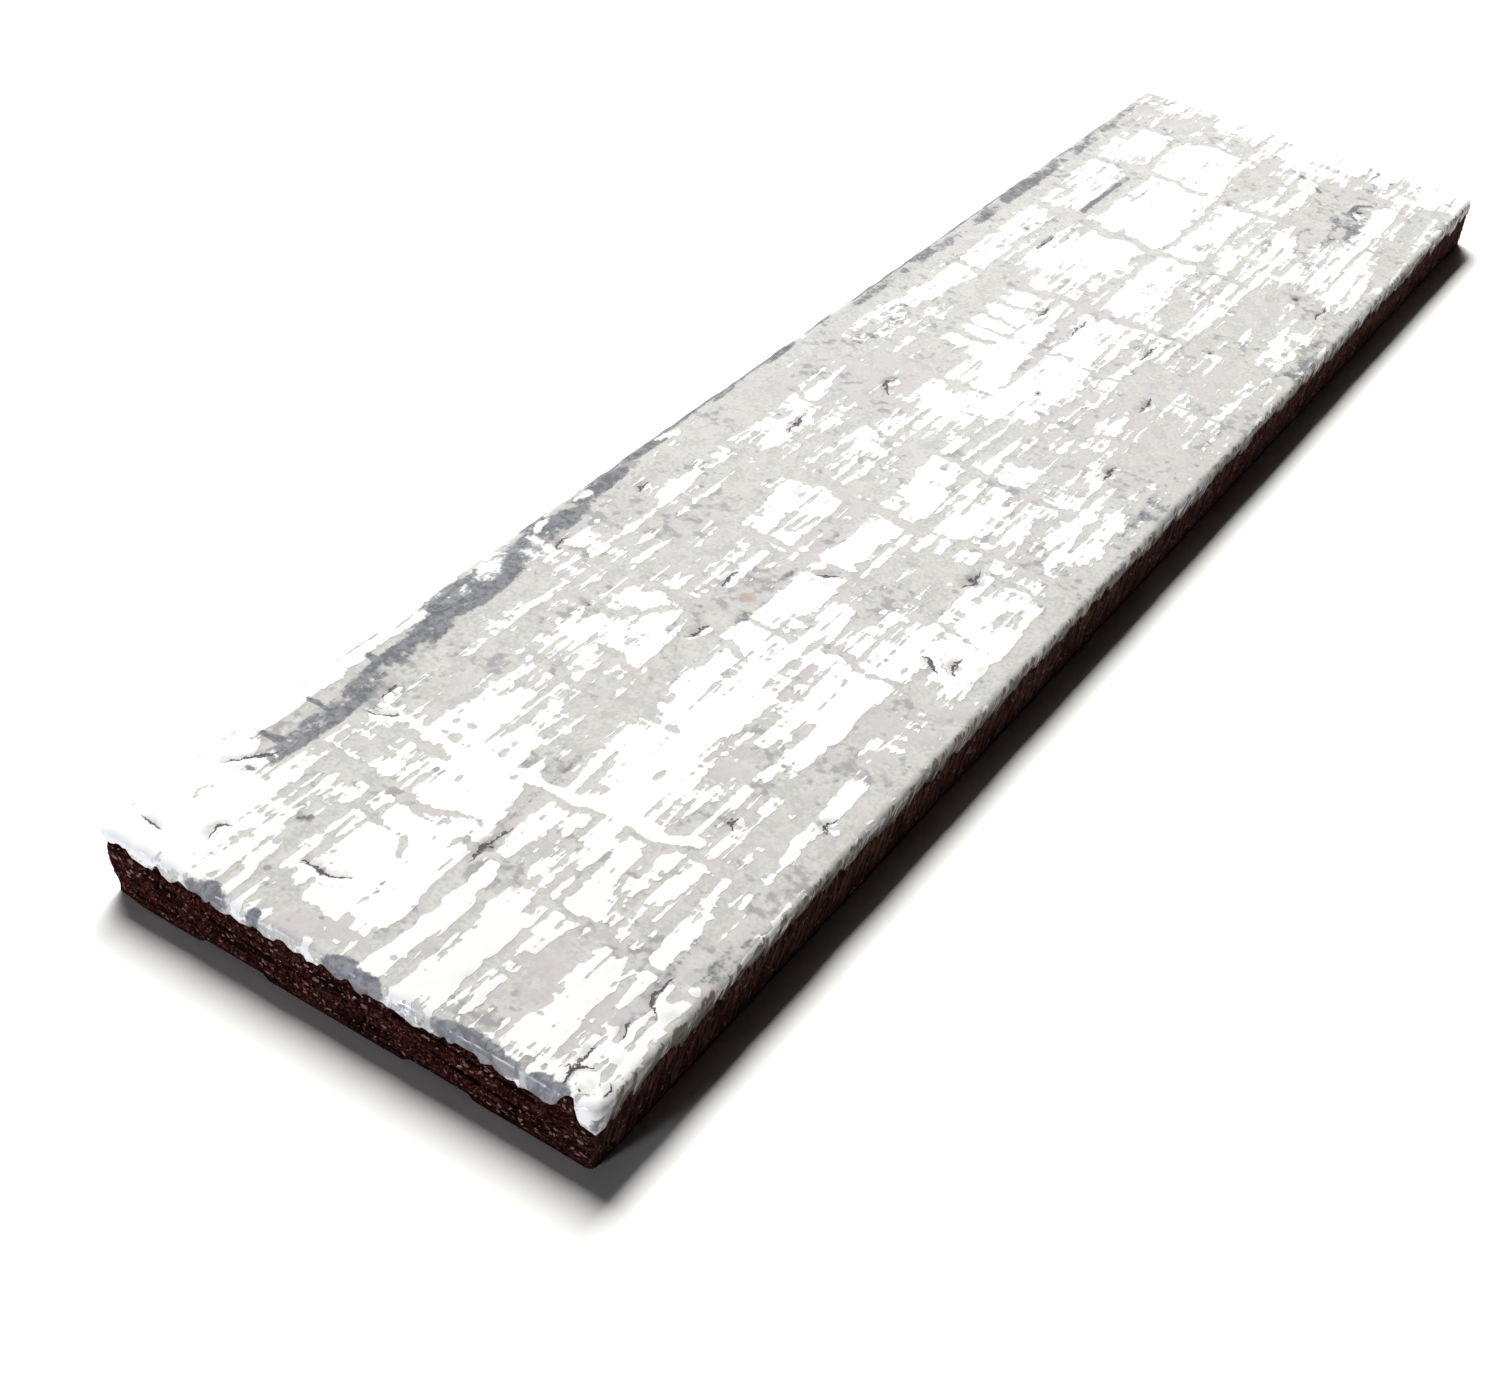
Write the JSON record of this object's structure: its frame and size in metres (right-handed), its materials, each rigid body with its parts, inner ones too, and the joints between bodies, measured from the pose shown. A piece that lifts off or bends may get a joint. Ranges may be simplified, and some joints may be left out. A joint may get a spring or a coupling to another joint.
{
  "type": "glazed brick slip",
  "caption": "Thin fired-clay brick slip with a rolled, glazed face and lengthwise keying grooves in its flat back, for bonding to a wall as facing.",
  "frame": {"origin": "middle of the back, on the plane of the lands that the slip rests on", "axes": "+X along the length, +Y across the width, +Z out of the glazed face, up as it lies"},
  "size_m": [0.25, 0.06, 0.008],
  "materials": {
    "glaze": "glossy off-white glaze over a dragged, pitted clay face",
    "fired_clay": "matt dark red-brown fired clay with pale grog"
  },
  "bodies": {
    "root": {"brick_slip": "fired_clay"}
  },
  "joints": []
}
